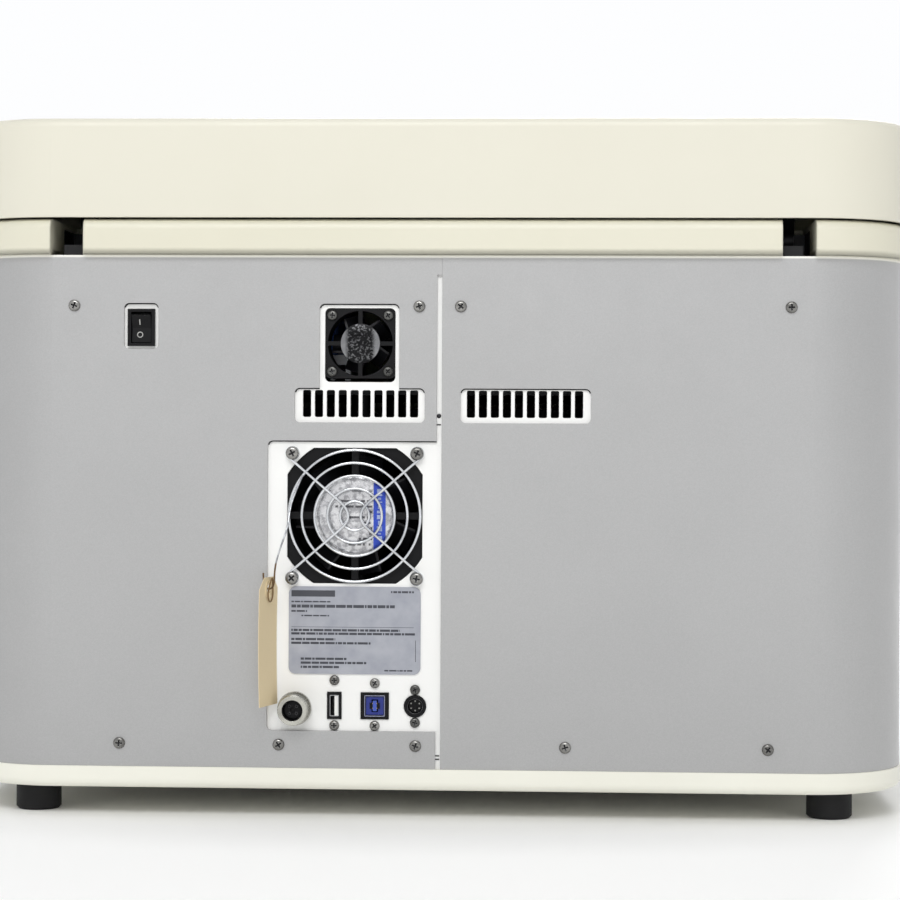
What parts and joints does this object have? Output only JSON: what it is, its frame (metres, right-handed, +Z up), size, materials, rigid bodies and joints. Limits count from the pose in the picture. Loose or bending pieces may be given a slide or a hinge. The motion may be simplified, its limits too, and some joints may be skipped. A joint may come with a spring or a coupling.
{
  "type": "flow cytometer",
  "caption": "Benchtop flow cytometer: cream-lidded silver casing, rear fans, sockets and power switch, with optics under a hinged lid and a front sample bay and fluid tanks.",
  "frame": {"origin": "centre of the footprint on the table, without the hanging tag and its wire", "axes": "+X to the operator's right as seen from the front, +Y to the rear face with the fans and sockets, +Z up"},
  "size_m": [0.556, 0.4441, 0.401],
  "materials": {
    "cream_moulding": "fine satin cream moulding",
    "silver_sheet": "satin silver paint on sheet steel",
    "white_sheet": "smooth white powder coat",
    "foot_rubber": "matt black",
    "dark_rubber": "matt dark grey",
    "plated_steel": "zinc plate",
    "bright_steel": "nickel plate",
    "black_steel": "black coat",
    "black_plastic": "satin black",
    "label_film": "silver-grey film, bare",
    "board_laminate": "green solder mask",
    "manila_card": "uncoated card",
    "black_anodised": "black anodised",
    "bare_aluminium": "machined",
    "clear_glass": "polished",
    "light_lens": "frosted lens",
    "grey_moulding": "satin grey moulding",
    "natural_plastic": "natural milky plastic"
  },
  "bodies": {
    "chassis": {"base_tray": "cream_moulding", "chassis_floor": "plated_steel", "dc_inlet_connector": "bright_steel", "deck_posts": "plated_steel", "detector_modules": "bare_aluminium", "filter_rack": "black_anodised", "flow_cell_block": "bare_aluminium", "flow_cuvette": "clear_glass", "front_button_switch": "black_plastic", "front_fascia": "cream_moulding", "io_board": "board_laminate", "large_fan_frame": "black_plastic", "large_fan_guard": "bright_steel", "laser_heat_sink": "bare_aluminium", "laser_modules": "black_anodised", "lens_mounts": "black_anodised", "lid_hinge_brackets": "black_steel", "lid_hinge_pins": "bright_steel", "lid_stop_blocks": "dark_rubber", "main_board": "board_laminate", "minidin_port": "black_plastic", "optics_deck": "black_anodised", "panel_screws": "bright_steel", "power_module": "plated_steel", "power_switch_body": "black_plastic", "rating_plate": "label_film", "rear_chassis_plate": "white_sheet", "rubber_feet": "foot_rubber", "sample_bay": "grey_moulding", "sample_probe": "bright_steel", "sheath_pump": "black_plastic", "side_cover_left": "silver_sheet", "side_cover_right": "silver_sheet", "signal_cards": "board_laminate", "small_fan_frame": "black_plastic", "status_light": "light_lens", "steering_mirrors": "bare_aluminium", "syringe_pump": "bare_aluminium", "tag_wire": "bright_steel", "tank_alcove": "grey_moulding", "upper_trim_band": "cream_moulding", "usb_a_port": "black_plastic", "usb_b_port": "black_plastic", "valve_manifold": "natural_plastic"},
    "lid": {"lid": "cream_moulding", "lid_hinge_arms": "black_steel"},
    "rocker": {"power_switch_rocker": "black_plastic"},
    "small_rotor": {"small_fan_rotor": "black_plastic"},
    "large_rotor": {"large_fan_rotor": "black_plastic"},
    "lifter": {"tube_lifter": "black_anodised", "sample_tube": "clear_glass"},
    "front_button": {"front_power_button": "grey_moulding"},
    "sheath_tank_body": {"sheath_tank": "natural_plastic"},
    "waste_tank_body": {"waste_tank": "natural_plastic"},
    "plunger": {"syringe_plunger": "bright_steel"},
    "tag": {"service_tag": "manila_card"},
    "cassette_1": {"filter_cassette_1": "black_anodised"},
    "cassette_2": {"filter_cassette_2": "black_anodised"},
    "cassette_3": {"filter_cassette_3": "black_anodised"},
    "cassette_4": {"filter_cassette_4": "black_anodised"}
  },
  "joints": [
    {"name": "lid_hinge", "type": "hinge", "parent": "chassis", "child": "lid", "pos_m": [0, 0.169, 0.2954], "axis": [-1, 0, 0], "range_deg": [0, 60]},
    {"name": "power_rocker", "type": "hinge", "parent": "chassis", "child": "rocker", "pos_m": [0.1663, 0.199, 0.281], "axis": [1, 0, 0], "range_deg": [0, 18]},
    {"name": "small_fan_spin", "type": "hinge", "parent": "chassis", "child": "small_rotor", "pos_m": [0.0403, 0.19, 0.2723], "axis": [0, 1, 0], "continuous": true},
    {"name": "large_fan_spin", "type": "hinge", "parent": "chassis", "child": "large_rotor", "pos_m": [0.043, 0.186, 0.1736], "axis": [0, 1, 0], "continuous": true},
    {"name": "tube_lift", "type": "slide", "parent": "chassis", "child": "lifter", "axis": [0, 0, 1], "range_m": [0, 0.07]},
    {"name": "front_button_press", "type": "slide", "parent": "chassis", "child": "front_button", "axis": [0, 1, 0], "range_m": [0, 0.0025], "stiffness_N_per_m": 400},
    {"name": "sheath_tank_slide", "type": "slide", "parent": "chassis", "child": "sheath_tank_body", "axis": [0, -1, 0], "range_m": [0, 0.15]},
    {"name": "waste_tank_slide", "type": "slide", "parent": "chassis", "child": "waste_tank_body", "axis": [0, -1, 0], "range_m": [0, 0.15]},
    {"name": "plunger_stroke", "type": "slide", "parent": "chassis", "child": "plunger", "axis": [0, 0, 1], "range_m": [0, 0.04]},
    {"name": "tag_swing", "type": "hinge", "parent": "chassis", "child": "tag", "pos_m": [0.0904, 0.2165, 0.1323], "axis": [0.9613, -0.2756, 0], "range_deg": [0, 25]},
    {"name": "cassette_1_lift", "type": "slide", "parent": "chassis", "child": "cassette_1", "axis": [0, 0, 1], "range_m": [0, 0.06]},
    {"name": "cassette_2_lift", "type": "slide", "parent": "chassis", "child": "cassette_2", "axis": [0, 0, 1], "range_m": [0, 0.06]},
    {"name": "cassette_3_lift", "type": "slide", "parent": "chassis", "child": "cassette_3", "axis": [0, 0, 1], "range_m": [0, 0.06]},
    {"name": "cassette_4_lift", "type": "slide", "parent": "chassis", "child": "cassette_4", "axis": [0, 0, 1], "range_m": [0, 0.06]}
  ]
}
